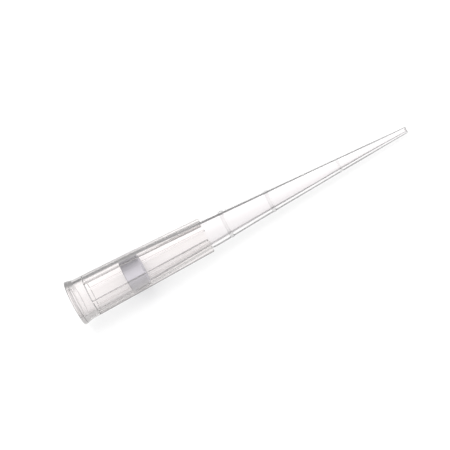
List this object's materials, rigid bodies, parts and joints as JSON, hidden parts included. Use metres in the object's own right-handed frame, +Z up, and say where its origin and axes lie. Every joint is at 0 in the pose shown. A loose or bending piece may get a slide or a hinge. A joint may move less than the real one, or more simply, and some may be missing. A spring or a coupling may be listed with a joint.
{
  "type": "pipette tip",
  "caption": "Clear 200 microlitre filter pipette tip with a flanged mouth, axial fins, graduation rings and a grey porous plug, lying on its side.",
  "frame": {"origin": "bottom centre of the bounding box, on the surface that the tip lies on", "axes": "+X along the tip, from the mouth towards the fine end; +Z up"},
  "size_m": [0.0592, 0.0076, 0.0075],
  "materials": {
    "clear_polypropylene": "clear moulded polypropylene, glossy, colourless",
    "porous_plug": "sintered porous polyethylene, grey, matt"
  },
  "bodies": {
    "root": {"tip_body": "clear_polypropylene", "filter_plug": "porous_plug"}
  },
  "joints": []
}
